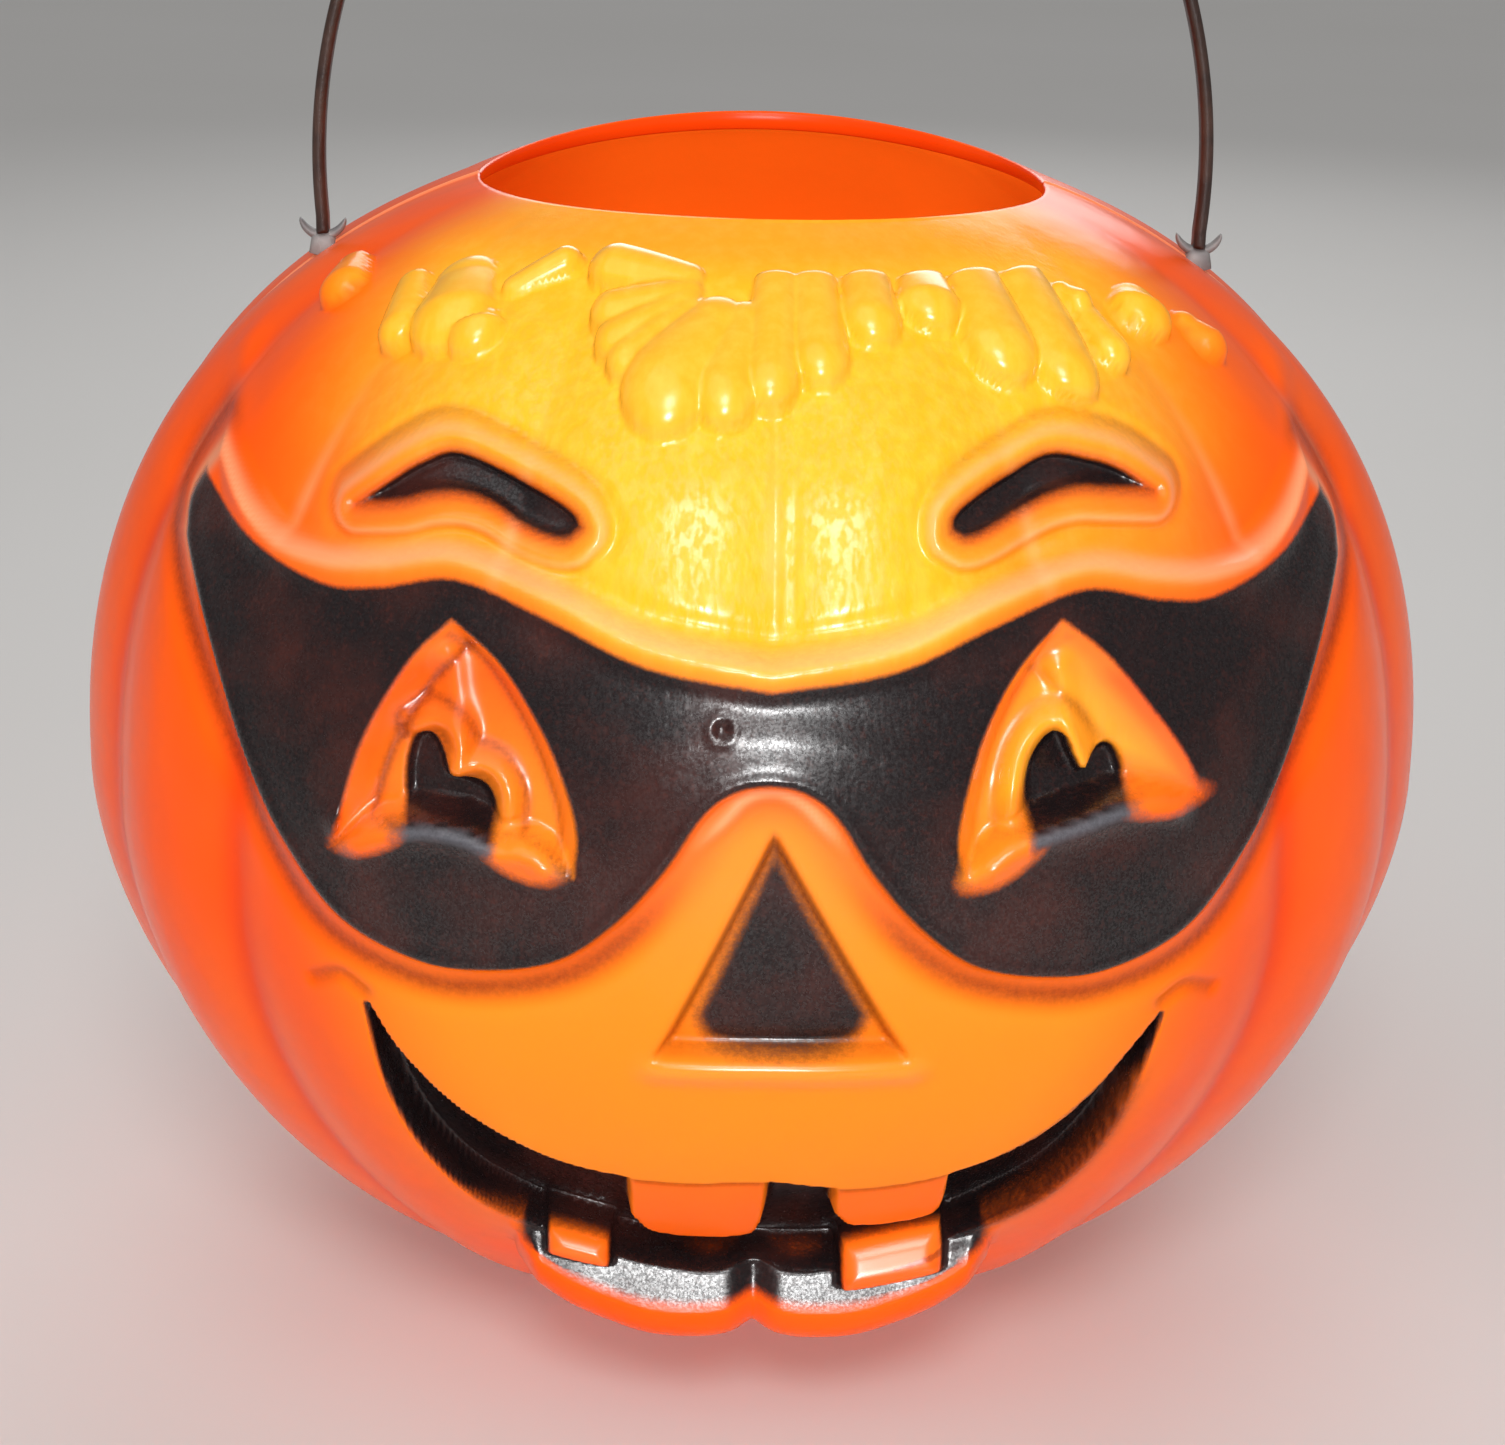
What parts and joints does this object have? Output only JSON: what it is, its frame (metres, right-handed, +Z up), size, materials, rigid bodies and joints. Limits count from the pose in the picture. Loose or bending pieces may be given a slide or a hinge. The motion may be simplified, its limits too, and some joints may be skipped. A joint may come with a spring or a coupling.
{
  "type": "pumpkin candy pail",
  "caption": "Round ribbed pumpkin-face pail with a moulded mask, grin and leaf wreath, open at the top, carried by a thin arched strap that swings to either side.",
  "frame": {"origin": "middle of the flat base, on the surface the pail stands on", "axes": "+Z up, the face looks along -Y, +X to the right of someone who faces it"},
  "size_m": [0.218, 0.2193, 0.2645],
  "materials": {
    "orange_shell": "satin moulded polyethylene with sprayed black and yellow paint",
    "dark_strap": "satin dark brown",
    "grey_anchor": "matt grey"
  },
  "bodies": {
    "pail": {"pail_shell": "orange_shell", "left_anchor": "grey_anchor", "right_anchor": "grey_anchor"},
    "handle": {"handle_strap": "dark_strap"}
  },
  "joints": [
    {"name": "handle_swing", "type": "hinge", "parent": "pail", "child": "handle", "pos_m": [0, 0, 0.17328], "axis": [1, 0, 0], "range_deg": [-95, 90]}
  ]
}
